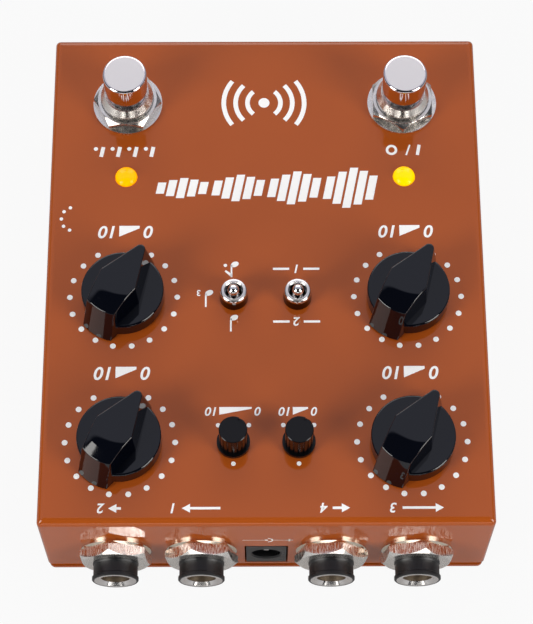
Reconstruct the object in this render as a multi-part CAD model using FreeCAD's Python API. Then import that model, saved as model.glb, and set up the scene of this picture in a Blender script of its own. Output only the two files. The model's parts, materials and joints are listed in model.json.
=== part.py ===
import FreeCAD
import Part
import math
import os

# Delay pedal, in millimetres. The origin is the centre of the case's footprint on the surface
# that the feet stand on. +X is the user's right, +Y the rear with the jacks, +Z up.

Vector = FreeCAD.Vector
UP = Vector(0, 0, 1)
REAR = Vector(0, 1, 0)
RIGHT = Vector(1, 0, 0)

# Case
case_width = 100.0
case_depth = 121.5
sheet = 1.5
panel_bend_radius = 1.7
wall_corner_radius = 1.0
base_thickness = 2.0
base_inset = 0.5
foot_height = 3.0
foot_radius = 6.0
foot_taper = 0.8
foot_margin = 11.0

# Corner brackets and the screws that hold the base plate
bracket_leg = 9.0
bracket_height = 8.0
bracket_sheet = 1.2
bracket_margin = 22.0
screw_radius = 1.5
screw_head_radius = 2.8
screw_head_height = 1.7
screw_clearance = 0.2
screw_slot_width = 0.8
screw_slot_depth = 0.8

# Panel layout
dial_spacing = 64.4
row_spacing = 35.0
rear_row_setback = 18.85
small_spacing = 14.4
small_row_offset = 0.25
footswitch_spacing = 64.6
footswitch_setback = 17.9
lamp_gap = 19.1

# Fits
running_gap = 0.05
seat_gap = 0.1
free_gap = 0.3
hole_gap = 0.15

# Hex nuts: the depth of the corners' bevels, over the corners' overhang
nut_face_bevel = 0.85
nut_under_bevel = 0.25

# Circuit boards
board_thickness = 1.6
board_edge_gap = 1.0
board_front_gap = 2.5

# Pots
pot_width = 9.8
pot_depth = 11.5
pot_height = 6.5
pot_edge = 0.6
bush_radius = 3.5
bush_height = 2.9
bush_flange_radius = 4.4
bush_flange_height = 0.5
pot_washer_radius = 5.4
pot_washer_thickness = 0.5
pot_nut_flats = 10.0
pot_nut_thickness = 1.8
shaft_radius = 3.0
shaft_top = 10.0
shaft_pocket = 3.6

# Large pointer knobs
knob_lift = 0.5
knob_top = 12.0
skirt_radius = 9.3
skirt_top = 4.6
skirt_edge = 0.5
knob_cavity_radius = 6.5
knob_cavity_top = 3.4
pointer_nose = 8.9
pointer_shoulder = -0.8
pointer_half_width = 4.55
pointer_tail = 7.5
pointer_tail_half_width = 3.6
pointer_tail_bulge = 0.7
pointer_tail_growth = 0.2
pointer_foot_growth = 0.85
pointer_tail_rake = 3.1
pointer_nose_rake = 2.2
pointer_nose_radius = 1.1
pointer_nose_foot_radius = 1.8
pointer_edge = 0.3
crown_centre = 3.0
crown_start = 6.0
crown_rounding = 7.5
crown_slope = 26.0
knob_rest_angle = 33.0

# Small ribbed knobs
small_knob_radius = 3.1
small_knob_top = 8.8
small_collar_radius = 3.68
small_collar_height = 1.0
small_shaft_radius = 2.0
small_shaft_hole = 2.3
small_rib_count = 18
small_groove_radius = 0.22
small_edge = 0.15
small_mark_width = 0.7
small_mark_length = 0.8
small_mark_depth = 0.5

# Toggle switches
toggle_body_width = 7.0
toggle_body_depth = 8.0
toggle_bush_radius = 2.5
toggle_bush_bore = 1.9
toggle_bush_height = 2.1
toggle_collar_foot = 3.25
toggle_collar_rim = 3.0
toggle_collar_height = 3.9
toggle_collar_rounding = 0.75
toggle_mouth_edge = 0.2
toggle_mouth_radius = 1.95
toggle_tilt = 13.0
lever_ball_radius = 1.5
lever_shank_radius = 0.72
lever_shoulder_radius = 0.85
lever_tip_radius = 1.28
lever_length = 9.6
lever_tail_length = 2.6
lever_tail_radius = 0.55
lever_tail_gap = 0.5
toggle_pocket_radius = 1.9

# Footswitches
footswitch_body_width = 17.0
footswitch_body_height = 17.0
footswitch_shelf = 2.0
footswitch_shelf_width = 15.0
footswitch_body_edge = 1.0
plunger_reach = 3.0
footswitch_bush_radius = 6.1
footswitch_bush_top = 5.9
footswitch_bush_shoulder = 4.3
footswitch_bush_mouth = 5.0
footswitch_washer_radius = 8.1
footswitch_washer_thickness = 0.7
footswitch_nut_flats = 13.8
footswitch_nut_thickness = 2.3
button_radius = 5.05
button_top = 14.5
button_foot = 8.5
button_edge = 0.6
button_neck_radius = 4.42
button_neck_gap = 0.08
button_travel = 2.0
plunger_radius = 2.5
lug_width = 3.2
lug_thickness = 0.6
lug_length = 4.5
lug_spacing = 5.0

# Indicator lamps
lamp_radius = 2.5
lamp_dome_top = 1.3
lamp_flange_radius = 2.9
lamp_flange_height = 1.0
lead_side = 0.5
lead_spacing = 2.54

# Jack sockets in the rear wall
jack_outer_spacing = 67.4
jack_inner_spacing = 29.0
jack_drop = 17.95
jack_stickout = 7.4
jack_nose_radius = 4.95
jack_lip_radius = 5.2
jack_lip_edge = 0.2
jack_foot_radius = 5.1
jack_bore_radius = 3.25
jack_rim_radius = 4.7
jack_rim_depth = 0.8
jack_rim_bevel = 0.7
jack_body_width = 16.0
jack_body_below = 9.0
jack_body_depth = 24.0
jack_bore_length = 20.0
jack_tip_length = 11.0
jack_tip_radius = 3.6
jack_window_width = 5.2
jack_window_reach = 5.6
jack_washer_radius = 7.9
jack_washer_thickness = 0.9
jack_nut_flats = 14.6
jack_nut_thickness = 2.5
contact_thickness = 0.4
contact_width = 3.6
contact_dip = 0.8

# Power inlet in the rear wall
inlet_width = 9.0
inlet_height = 11.4
inlet_depth = 14.0
inlet_drop = 22.0
inlet_bore_radius = 3.2
inlet_bore_depth = 10.0
inlet_bore_bevel = 0.35
inlet_pin_radius = 1.0
inlet_window_gap = 0.35

# Five-pin round socket in the right side wall
midi_y = -12.9
midi_body_width = 19.0
midi_body_height = 18.6
midi_body_depth = 14.0
midi_face_radius = 7.4
midi_recess_radius = 6.9
midi_recess_depth = 8.0
midi_core_radius = 5.6
midi_core_setback = 1.0
midi_pin_circle = 4.45
midi_contact_radius = 0.95
midi_contact_hole = 0.75
midi_contact_length = 7.0
midi_contact_setback = 1.3
midi_key_width = 2.4
midi_shield_thickness = 0.3
midi_shield_setback = 0.4
midi_floor_gap = 0.8

# Electronic parts under the main board
chip_width = 10.3
chip_length = 16.0
chip_height = 2.4
chip_margin = 6.0
chip_row_pitch = 18.0
chip_column_pitch = 26.0
capacitor_radius = 2.5
capacitor_height = 7.0
capacitor_count = 4
capacitor_first = 12.0
capacitor_pitch = 8.0
capacitor_setback = 6.0
regulator_width = 6.5
regulator_depth = 6.0
regulator_height = 2.3

# Places that follow from the sizes above
inside_height = pot_height + board_thickness + midi_body_height + midi_floor_gap
case_height = sheet + inside_height + base_thickness
half_width = case_width / 2
half_depth = case_depth / 2
panel_top = foot_height + case_height
panel_under = panel_top - sheet
base_top = foot_height + base_thickness
side_inside = half_width - sheet
rear_inside = half_depth - sheet
board_top = panel_under - pot_height
board_under = board_top - board_thickness
dial_x = dial_spacing / 2
small_x = small_spacing / 2
rear_row_y = half_depth - rear_row_setback
small_row_y = rear_row_y + small_row_offset
front_row_y = rear_row_y - row_spacing
footswitch_x = footswitch_spacing / 2
footswitch_y = footswitch_setback - half_depth
lamp_y = footswitch_y + lamp_gap
board_front = footswitch_y + footswitch_body_width / 2 + board_front_gap
board_rear = rear_inside - board_edge_gap
jack_z = panel_top - jack_drop
inlet_z = panel_top - inlet_drop
midi_z = board_under - midi_body_height / 2
capacitor_row_y = front_row_y + capacitor_setback

dial_places = {
    "tempo": (dial_x, front_row_y),
    "repeat": (-dial_x, front_row_y),
    "volume": (dial_x, rear_row_y),
    "echo": (-dial_x, rear_row_y),
}
small_places = {
    "input_gain": (small_x, small_row_y),
    "hi_cut": (-small_x, small_row_y),
}
toggle_places = {
    "division": (small_x, front_row_y),
    "voicing": (-small_x, front_row_y),
}
footswitch_places = {
    "tap": (footswitch_x, footswitch_y),
    "bypass": (-footswitch_x, footswitch_y),
}
lamp_places = {
    "tempo": (footswitch_x, lamp_y),
    "status": (-footswitch_x, lamp_y),
}
jack_places = {
    "right_input": jack_outer_spacing / 2,
    "left_input": jack_inner_spacing / 2,
    "right_output": -jack_inner_spacing / 2,
    "left_output": -jack_outer_spacing / 2,
}


def box(x_low, x_high, y_low, y_high, z_low, z_high):
    return Part.makeBox(x_high - x_low, y_high - y_low, z_high - z_low, Vector(x_low, y_low, z_low))


def post(radius, x, y, z_low, z_high):
    return Part.makeCylinder(radius, z_high - z_low, Vector(x, y, z_low), UP)


def rod_y(radius, x, z, y_low, y_high):
    return Part.makeCylinder(radius, y_high - y_low, Vector(x, y_low, z), REAR)


def rod_x(radius, y, z, x_low, x_high):
    return Part.makeCylinder(radius, x_high - x_low, Vector(x_low, y, z), RIGHT)


def spun(points):
    """A solid turned about the Z axis from (radius, height) points."""
    outline = Part.makePolygon([Vector(r, 0, z) for r, z in points] + [Vector(points[0][0], 0, points[0][1])])
    return Part.Face(outline).revolve(Vector(0, 0, 0), UP, 360)


def moved(shape, x, y, z):
    copy = shape.copy()
    copy.translate(Vector(x, y, z))
    return copy


def turned(shape, angle):
    copy = shape.copy()
    copy.rotate(Vector(0, 0, 0), UP, angle)
    return copy


def facing_rear(shape):
    """Lays a piece that was made along +Z over, so that it points along +Y."""
    copy = shape.copy()
    copy.rotate(Vector(0, 0, 0), RIGHT, -90)
    return copy


def edges_along(shape, direction):
    """The straight edges of a shape that run along a direction."""
    found = []
    for edge in shape.Edges:
        if isinstance(edge.Curve, Part.Line) and abs(edge.Curve.Direction.dot(direction)) > 0.999:
            found.append(edge)
    return found


def edges_at_height(shape, z, tolerance=0.01):
    """The edges of a shape that lie at one height."""
    found = []
    for edge in shape.Edges:
        bounds = edge.BoundBox
        if abs(bounds.ZMin - z) < tolerance and abs(bounds.ZMax - z) < tolerance:
            found.append(edge)
    return found


def hex_nut(flats, thickness, hole_radius):
    """A hex nut on the Z axis with its underside at zero: a deep bevel on its face, a small one below."""
    corner = flats / math.sqrt(3)
    corners = [Vector(corner * math.sin(math.radians(a)), corner * math.cos(math.radians(a)), 0)
               for a in range(0, 361, 60)]
    prism = Part.Face(Part.makePolygon(corners)).extrude(Vector(0, 0, thickness))
    bevel = corner - flats / 2
    barrel = spun([(0, 0), (flats / 2, 0), (corner, bevel * nut_under_bevel),
                   (corner, thickness - bevel * nut_face_bevel), (flats / 2, thickness), (0, thickness)])
    return prism.common(barrel).cut(post(hole_radius, 0, 0, -1, thickness + 1))


def washer(outer_radius, inner_radius, thickness):
    return post(outer_radius, 0, 0, 0, thickness).cut(post(inner_radius, 0, 0, -1, thickness + 1))


def save(name, shape):
    shape.exportStep(os.path.join("parts", name + ".step"))


def save_group(name, shapes):
    save(name, Part.makeCompound(shapes))


# Case

def panel_holes():
    """The tools that cut every opening in the top panel."""
    low = panel_under - 1
    high = panel_top + 1
    cuts = [post(bush_radius + hole_gap, x, y, low, high) for x, y in dial_places.values()]
    cuts += [post(small_shaft_hole, x, y, low, high) for x, y in small_places.values()]
    cuts += [post(toggle_bush_radius + hole_gap, x, y, low, high) for x, y in toggle_places.values()]
    cuts += [post(footswitch_bush_radius + hole_gap, x, y, low, high) for x, y in footswitch_places.values()]
    cuts += [post(lamp_radius + hole_gap, x, y, low, high) for x, y in lamp_places.values()]
    return cuts


def wall_holes():
    """The tools that cut the openings in the rear wall and the right side wall."""
    cuts = [rod_y(jack_nose_radius + hole_gap, x, jack_z, rear_inside - 1, half_depth + 1)
            for x in jack_places.values()]
    half_window = inlet_width / 2 + inlet_window_gap
    half_window_height = inlet_height / 2 + inlet_window_gap
    cuts.append(box(-half_window, half_window, rear_inside - 1, half_depth + 1,
                    inlet_z - half_window_height, inlet_z + half_window_height))
    cuts.append(rod_x(midi_face_radius + hole_gap, midi_y, midi_z, side_inside - 1, half_width + 1))
    return cuts


def case_shell():
    outside = box(-half_width, half_width, -half_depth, half_depth, base_top, panel_top)
    outside = outside.makeFillet(wall_corner_radius, edges_along(outside, UP))
    outside = outside.makeFillet(panel_bend_radius, edges_at_height(outside, panel_top))
    inside = box(-side_inside, side_inside, -rear_inside, rear_inside, base_top - 1, panel_under)
    inside = inside.makeFillet(max(wall_corner_radius - sheet, 0.2), edges_along(inside, UP))
    shell = outside.cut(inside)
    return shell.cut(panel_holes() + wall_holes())


def bracket_places():
    """Each bracket's centre along its side wall, with the side that it stands on."""
    y = half_depth - bracket_margin
    return [(side, y * end) for side in (-1, 1) for end in (-1, 1)]


def bracket(side, y):
    """An angle bracket: one leg on the side wall, one on the base plate with the screw hole."""
    half = bracket_leg / 2
    wall = side_inside * side
    upright = box(min(wall, wall - side * bracket_sheet), max(wall, wall - side * bracket_sheet),
                  y - half, y + half, base_top, base_top + bracket_height)
    tongue = box(min(wall, wall - side * bracket_leg), max(wall, wall - side * bracket_leg),
                 y - half, y + half, base_top, base_top + bracket_sheet)
    hole = post(screw_radius, wall - side * bracket_leg * 0.55, y, base_top - 1, base_top + 3)
    return upright.fuse(tongue).removeSplitter().cut(hole)


def screw_places():
    return [((side_inside - bracket_leg * 0.55) * side, y) for side, y in bracket_places()]


def base_plate():
    plate = box(base_inset - half_width, half_width - base_inset, base_inset - half_depth,
                half_depth - base_inset, foot_height, base_top)
    plate = plate.makeFillet(wall_corner_radius, edges_along(plate, UP))
    hole_radius = screw_radius + screw_clearance
    return plate.cut([post(hole_radius, x, y, foot_height - 1, base_top + 1) for x, y in screw_places()])


def base_screw():
    """A pan-head screw that comes up from below, with its head's bearing face at zero."""
    length = base_thickness + bracket_sheet + 1.5
    head = spun([(0, 0), (screw_head_radius, 0), (screw_head_radius, -screw_head_height * 0.5),
                 (screw_head_radius * 0.6, -screw_head_height), (0, -screw_head_height)])
    slot = box(-screw_slot_width / 2, screw_slot_width / 2, -screw_head_radius - 1, screw_head_radius + 1,
               -screw_head_height - 1, screw_slot_depth - screw_head_height)
    cross = turned(slot, 90)
    return head.cut([slot, cross]).fuse(post(screw_radius, 0, 0, 0, length))


def rubber_foot():
    return spun([(0, 0), (foot_radius - foot_taper, 0), (foot_radius, foot_height), (0, foot_height)])


def build_case():
    save("case_shell", case_shell())
    save("base_plate", base_plate())
    save_group("corner_brackets", [bracket(side, y) for side, y in bracket_places()])
    save_group("base_screws", [moved(base_screw(), x, y, foot_height) for x, y in screw_places()])
    foot_x = half_width - foot_margin
    foot_y = half_depth - foot_margin
    save_group("rubber_feet", [moved(rubber_foot(), x, y, 0)
                               for x in (-foot_x, foot_x) for y in (-foot_y, foot_y)])


# Circuit boards

def build_boards():
    board = box(board_edge_gap - side_inside, side_inside - board_edge_gap, board_front, board_rear,
                board_under, board_top)
    save("main_board", board)
    front = inlet_board_front()
    half = inlet_width / 2 + 1.5
    save("inlet_board", box(-half, half, front, front + board_thickness,
                            inlet_z - inlet_height / 2, board_under))


def inlet_board_front():
    """The inlet board stands against the back of the power inlet."""
    return half_depth - inlet_depth - board_thickness


# Pots and large knobs

def pot_body():
    """A pot's case on the Z axis, with its top at zero and a pocket for the end of the shaft."""
    case = box(-pot_width / 2, pot_width / 2, -pot_depth / 2, pot_depth / 2, -pot_height, 0)
    case = case.makeFillet(pot_edge, edges_along(case, UP))
    seat = post(bush_flange_radius, 0, 0, -bush_flange_height, 1)
    pocket = post(shaft_radius + running_gap, 0, 0, -bush_flange_height - shaft_pocket, 1)
    return case.cut([seat, pocket])


def pot_bushing():
    """The threaded bushing with its flange let into the pot's case, its bearing face at zero."""
    top = sheet + bush_height
    outside = spun([(0, -bush_flange_height), (bush_flange_radius, -bush_flange_height),
                    (bush_flange_radius, 0), (bush_radius, 0), (bush_radius, top - 0.3),
                    (bush_radius - 0.3, top), (0, top)])
    return outside.cut(post(shaft_radius + running_gap, 0, 0, -bush_flange_height - 1, top + 1))


def knob_shaft():
    """The pot's shaft, with heights counted from the panel's top face."""
    low = -sheet - bush_flange_height - shaft_pocket + free_gap
    return spun([(0, low), (shaft_radius, low), (shaft_radius, shaft_top - 0.4),
                 (shaft_radius - 0.4, shaft_top), (0, shaft_top)])


def pointer_outline(share, z):
    """The kite-shaped outline of the knob's bar at one height, with its rounded nose along +X.

    The share runs from zero at the bar's top to one at its foot.
    """
    nose_radius = pointer_nose_radius + share * (pointer_nose_foot_radius - pointer_nose_radius)
    nose_centre = pointer_nose + share * pointer_nose_rake - nose_radius
    shoulder = pointer_half_width + share * pointer_foot_growth
    tail = -pointer_tail - share * pointer_tail_rake
    tail_half = pointer_tail_half_width + share * pointer_tail_growth
    span = math.hypot(nose_centre - pointer_shoulder, shoulder)
    turn = math.asin(nose_radius / span) - math.atan2(shoulder, nose_centre - pointer_shoulder)
    contact_x = nose_centre - nose_radius * math.sin(turn)
    contact_y = nose_radius * math.cos(turn)
    left_contact = Vector(contact_x, contact_y, z)
    right_contact = Vector(contact_x, -contact_y, z)
    left_shoulder = Vector(pointer_shoulder, shoulder, z)
    right_shoulder = Vector(pointer_shoulder, -shoulder, z)
    left_tail = Vector(tail, tail_half, z)
    right_tail = Vector(tail, -tail_half, z)
    tip = Vector(nose_centre + nose_radius, 0, z)
    return Part.Wire([
        Part.Arc(right_contact, tip, left_contact).toShape(),
        Part.LineSegment(left_contact, left_shoulder).toShape(),
        Part.LineSegment(left_shoulder, left_tail).toShape(),
        Part.Arc(left_tail, Vector(tail - pointer_tail_bulge, 0, z), right_tail).toShape(),
        Part.LineSegment(right_tail, right_shoulder).toShape(),
        Part.LineSegment(right_shoulder, right_contact).toShape(),
    ])


def pointer_crown():
    """The space under the bar's top: level over the nose, rounded down to a slope over the tail."""
    slope = math.radians(crown_slope)
    reach = 2 * skirt_radius
    end = crown_start + crown_rounding * math.sin(slope)
    end_height = knob_top - crown_rounding * (1 - math.cos(slope))
    middle = crown_start + crown_rounding * math.sin(slope / 2)
    middle_height = knob_top - crown_rounding * (1 - math.cos(slope / 2))
    reach_height = end_height - (reach - end) * math.tan(slope)
    level = Vector(crown_start, 0, knob_top)
    sloped = Vector(end, 0, end_height)
    profile = Part.Wire([
        Part.LineSegment(Vector(0, 0, 0), Vector(0, 0, knob_top)).toShape(),
        Part.LineSegment(Vector(0, 0, knob_top), level).toShape(),
        Part.Arc(level, Vector(middle, 0, middle_height), sloped).toShape(),
        Part.LineSegment(sloped, Vector(reach, 0, reach_height)).toShape(),
        Part.LineSegment(Vector(reach, 0, reach_height), Vector(reach, 0, 0)).toShape(),
        Part.LineSegment(Vector(reach, 0, 0), Vector(0, 0, 0)).toShape(),
    ])
    dome = moved(Part.Face(profile).revolve(Vector(0, 0, 0), UP, 360), crown_centre, 0, 0)
    behind = dome.common(box(-reach, pointer_shoulder, -reach, reach, 0, knob_top + 1))
    ahead = box(pointer_shoulder, reach, -reach, reach, 0, knob_top)
    return behind.fuse(ahead).removeSplitter()


def pointer_knob():
    """A pointer knob on the Z axis with its nose along +X, heights counted from the panel."""
    skirt = post(skirt_radius, 0, 0, knob_lift, skirt_top)
    skirt = skirt.makeFillet(skirt_edge, edges_at_height(skirt, skirt_top))
    above = 1 / (knob_top - knob_lift)
    outlines = [pointer_outline(1, knob_lift), pointer_outline(-above, knob_top + 1)]
    bar = Part.makeLoft(outlines, True, True).common(pointer_crown())
    bar = bar.makeFillet(pointer_edge, [edge for edge in bar.Edges if edge.BoundBox.ZMax > skirt_top])
    knob = skirt.fuse(bar)
    cavity = post(knob_cavity_radius, 0, 0, knob_lift - 1, knob_cavity_top)
    bore = post(shaft_radius + running_gap, 0, 0, knob_lift, shaft_top)
    return knob.cut([cavity, bore])


def build_dials():
    body = pot_body()
    bushing = pot_bushing()
    shaft = knob_shaft()
    knob = turned(pointer_knob(), 270 - knob_rest_angle)
    ring = washer(pot_washer_radius, bush_radius + seat_gap, pot_washer_thickness)
    nut = hex_nut(pot_nut_flats, pot_nut_thickness, bush_radius + seat_gap)
    for name, (x, y) in dial_places.items():
        save(name + "_pot_body", moved(body, x, y, panel_under))
        save(name + "_shaft", moved(shaft, x, y, panel_top))
        save(name + "_knob", moved(knob, x, y, panel_top))
    places = dial_places.values()
    save_group("pot_bushings", [moved(bushing, x, y, panel_under) for x, y in places])
    save_group("pot_washers", [moved(ring, x, y, panel_top) for x, y in places])
    save_group("pot_nuts", [moved(nut, x, y, panel_top + pot_washer_thickness) for x, y in places])


# Small pots and knobs

def small_pot_body():
    case = box(-pot_width / 2, pot_width / 2, -pot_depth / 2, pot_depth / 2, -pot_height, 0)
    case = case.makeFillet(pot_edge, edges_along(case, UP))
    return case.cut(post(small_shaft_radius + running_gap, 0, 0, -shaft_pocket, 1))


def small_knob():
    """A ribbed knob and its shaft in one piece, its mark along +X, heights counted from the panel."""
    low = free_gap
    foot = small_collar_height + free_gap
    outside = spun([(0, low), (small_collar_radius, low), (small_collar_radius, foot),
                    (small_knob_radius, foot), (small_knob_radius, small_knob_top - small_edge),
                    (small_knob_radius - small_edge, small_knob_top), (0, small_knob_top)])
    grooves = []
    for step in range(small_rib_count):
        angle = (step + 0.5) * 360.0 / small_rib_count
        groove = post(small_groove_radius, small_knob_radius, 0, foot, small_knob_top - 2 * small_edge)
        grooves.append(turned(groove, angle))
    mark = box(small_knob_radius - small_mark_length, small_knob_radius + 1, -small_mark_width / 2,
               small_mark_width / 2, small_knob_top - small_mark_depth, small_knob_top + 1)
    shaft = post(small_shaft_radius, 0, 0, free_gap - sheet - shaft_pocket, low)
    return outside.cut(grooves + [mark]).fuse(shaft)


def build_small_knobs():
    knob = turned(small_knob(), 270 - knob_rest_angle)
    for name, (x, y) in small_places.items():
        save(name + "_pot_body", moved(small_pot_body(), x, y, panel_under))
        save(name + "_knob", moved(knob, x, y, panel_top))


# Toggle switches

def toggle_body():
    """The switch case under the panel, with its top at zero and room for the lever's tail."""
    case = box(-toggle_body_width / 2, toggle_body_width / 2, -toggle_body_depth / 2, toggle_body_depth / 2,
               -pot_height, 0)
    pocket_low = sheet - lever_tail_length - lever_tail_gap
    return case.cut(post(toggle_pocket_radius, 0, 0, pocket_low, 1))


def toggle_bushing():
    top = sheet + toggle_bush_height
    return washer(toggle_bush_radius, toggle_bush_bore, top)


def toggle_collar():
    """The round collar nut that shows above the panel: a slightly tapered wall with a rounded rim."""
    height = toggle_collar_height
    bevel = toggle_mouth_edge
    inner = toggle_bush_radius + seat_gap
    step = toggle_bush_height + seat_gap
    collar = spun([(inner, 0), (toggle_collar_foot, 0), (toggle_collar_rim, height),
                   (toggle_mouth_radius + bevel, height), (toggle_mouth_radius, height - bevel),
                   (toggle_mouth_radius, step), (inner, step)])
    outer = [edge for edge in edges_at_height(collar, height) if edge.Curve.Radius > toggle_collar_rim - 0.01]
    return collar.makeFillet(toggle_collar_rounding, outer)


def toggle_lever():
    """The lever on the Z axis, its pivot at zero: tail, pivot ball, shank and rounded tip."""
    tip_centre = lever_length - lever_tip_radius
    shank_foot = lever_ball_radius * 0.8
    shank_length = tip_centre - shank_foot
    shank = Part.makeCone(lever_shank_radius, lever_shoulder_radius, shank_length,
                          Vector(0, 0, shank_foot), UP)
    tip = Part.makeSphere(lever_tip_radius, Vector(0, 0, tip_centre))
    ball = Part.makeSphere(lever_ball_radius)
    tail = post(lever_tail_radius, 0, 0, -lever_tail_length, 0)
    lever = shank.fuse([tip, ball, tail])
    lever.rotate(Vector(0, 0, 0), RIGHT, -toggle_tilt)
    return lever


def build_toggles():
    places = toggle_places.values()
    for name, (x, y) in toggle_places.items():
        save(name + "_switch_body", moved(toggle_body(), x, y, panel_under))
        save(name + "_lever", moved(toggle_lever(), x, y, panel_top))
    save_group("toggle_bushings", [moved(toggle_bushing(), x, y, panel_under) for x, y in places])
    save_group("toggle_collars", [moved(toggle_collar(), x, y, panel_top) for x, y in places])


# Footswitches

def footswitch_body():
    """The switch case, with its top at zero and a pocket that the plunger moves in."""
    half = footswitch_body_width / 2
    case = box(-half, half, -half, half, -footswitch_body_height, 0)
    case = case.makeFillet(footswitch_body_edge, edges_along(case, UP))
    pocket = post(plunger_radius + free_gap, 0, 0, -plunger_reach - button_travel - free_gap, 1)
    return case.cut(pocket)


def footswitch_bushing():
    """The threaded bushing on its shelf, heights counted from the panel's underside."""
    top = sheet + footswitch_bush_top
    shoulder = sheet + footswitch_bush_shoulder
    half = footswitch_shelf_width / 2
    plate = box(-half, half, -half, half, -footswitch_shelf, 0)
    tube = spun([(0, 0), (footswitch_bush_radius, 0), (footswitch_bush_radius, shoulder),
                 (footswitch_bush_mouth + 0.15, top), (0, top)])
    bore = post(button_neck_radius + button_neck_gap, 0, 0, -footswitch_shelf - 1, top + 1)
    return plate.fuse(tube).cut(bore)


def footswitch_button():
    """The button with its neck and plunger, heights counted from the panel's top face."""
    neck_low = footswitch_neck_low()
    low = -sheet - footswitch_shelf - plunger_reach
    button = spun([(0, low), (plunger_radius, low), (plunger_radius, neck_low),
                   (button_neck_radius, neck_low), (button_neck_radius, button_foot),
                   (button_radius, button_foot), (button_radius, button_top), (0, button_top)])
    return button.makeFillet(button_edge, edges_at_height(button, button_top))


def footswitch_neck_low():
    """The neck ends above the switch case by the travel and a gap."""
    return -sheet - footswitch_shelf + button_travel + free_gap


def footswitch_lugs():
    """Three solder lugs in a row under the switch case, which ends at zero."""
    lugs = []
    for step in (-1, 0, 1):
        lug = box(step * lug_spacing - lug_thickness / 2, step * lug_spacing + lug_thickness / 2,
                  -lug_width / 2, lug_width / 2, -lug_length, 0)
        eye = rod_x(0.6, 0, -lug_length * 0.6, step * lug_spacing - 1, step * lug_spacing + 1)
        lugs.append(lug.cut(eye))
    return Part.makeCompound(lugs)


def build_footswitches():
    places = footswitch_places.values()
    shelf_under = panel_under - footswitch_shelf
    ring = washer(footswitch_washer_radius, footswitch_bush_radius + seat_gap, footswitch_washer_thickness)
    nut = hex_nut(footswitch_nut_flats, footswitch_nut_thickness, footswitch_bush_radius + seat_gap)
    nut_z = panel_top + footswitch_washer_thickness
    nut_turns = {"tap": 28.0, "bypass": 0.0}
    for name, (x, y) in footswitch_places.items():
        save(name + "_switch_body", moved(footswitch_body(), x, y, shelf_under))
        save(name + "_button", moved(footswitch_button(), x, y, panel_top))
    save_group("footswitch_bushings", [moved(footswitch_bushing(), x, y, panel_under) for x, y in places])
    save_group("footswitch_washers", [moved(ring, x, y, panel_top) for x, y in places])
    save_group("footswitch_nuts", [moved(turned(nut, nut_turns[name]), x, y, nut_z)
                                   for name, (x, y) in footswitch_places.items()])
    save_group("footswitch_lugs", [moved(footswitch_lugs(), x, y, shelf_under - footswitch_body_height)
                                   for x, y in places])


# Indicator lamps

def lamp():
    """A domed lamp, heights counted from the panel's top face; its flange is under the panel."""
    dome = Part.makeSphere(lamp_radius, Vector(0, 0, 0), UP, 0, 90, 360)
    stretch = FreeCAD.Matrix()
    stretch.scale(1, 1, lamp_dome_top / lamp_radius)
    dome = dome.transformGeometry(stretch)
    barrel = post(lamp_radius, 0, 0, -sheet - 0.5, 0)
    flange = post(lamp_flange_radius, 0, 0, -sheet - lamp_flange_height, -sheet)
    return dome.fuse([barrel, flange]).removeSplitter()


def lamp_leads():
    """Two square leads from the lamp's flange down to the board, from the panel's underside."""
    half = lead_side / 2
    return [box(side * lead_spacing / 2 - half, side * lead_spacing / 2 + half, -half, half,
                -pot_height, -lamp_flange_height) for side in (-1, 1)]


def build_lamps():
    leads = []
    for name, (x, y) in lamp_places.items():
        save(name + "_lamp", moved(lamp(), x, y, panel_top))
        leads += [moved(lead, x, y, panel_under) for lead in lamp_leads()]
    save_group("lamp_leads", leads)


# Jack sockets: modelled along +Z with the wall's outer face at zero, then laid over to +Y

def jack_body():
    """The moulded body: nose, bore, a wider space for the plug's tip, and a window for its spring."""
    rim_foot = jack_stickout - jack_rim_depth
    foot = jack_washer_thickness + jack_nut_thickness
    edge = jack_lip_edge
    nose = spun([(0, -sheet), (jack_nose_radius, -sheet), (jack_nose_radius, foot),
                 (jack_foot_radius, foot), (jack_foot_radius, foot + 0.3),
                 (jack_nose_radius, foot + 0.6), (jack_nose_radius, rim_foot - edge),
                 (jack_lip_radius, rim_foot), (jack_lip_radius, jack_stickout - edge),
                 (jack_lip_radius - edge, jack_stickout), (0, jack_stickout)])
    half = jack_body_width / 2
    above = board_under - jack_z
    case = box(-half, half, -above, jack_body_below, -sheet - jack_body_depth, -sheet)
    case = case.makeFillet(0.6, edges_along(case, UP))
    tip_top = rim_foot - jack_bore_length
    rim_seat = post(jack_rim_radius, 0, 0, rim_foot, jack_stickout + 1)
    bore = post(jack_bore_radius, 0, 0, tip_top - 1, rim_foot + 1)
    tip_space = post(jack_tip_radius, 0, 0, tip_top - jack_tip_length, tip_top)
    window = box(-jack_window_width / 2, jack_window_width / 2, 0, jack_window_reach,
                 tip_top - jack_tip_length, tip_top)
    return nose.fuse(case).cut([rim_seat, bore, tip_space, window])


def jack_rim():
    """The bright ring that lines the front of the nose."""
    foot = jack_stickout - jack_rim_depth
    face = jack_stickout
    inner = jack_rim_bevel
    return spun([(jack_bore_radius, foot), (jack_rim_radius, foot), (jack_rim_radius, face),
                 (jack_bore_radius + inner, face), (jack_bore_radius, face - inner)])


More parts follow.
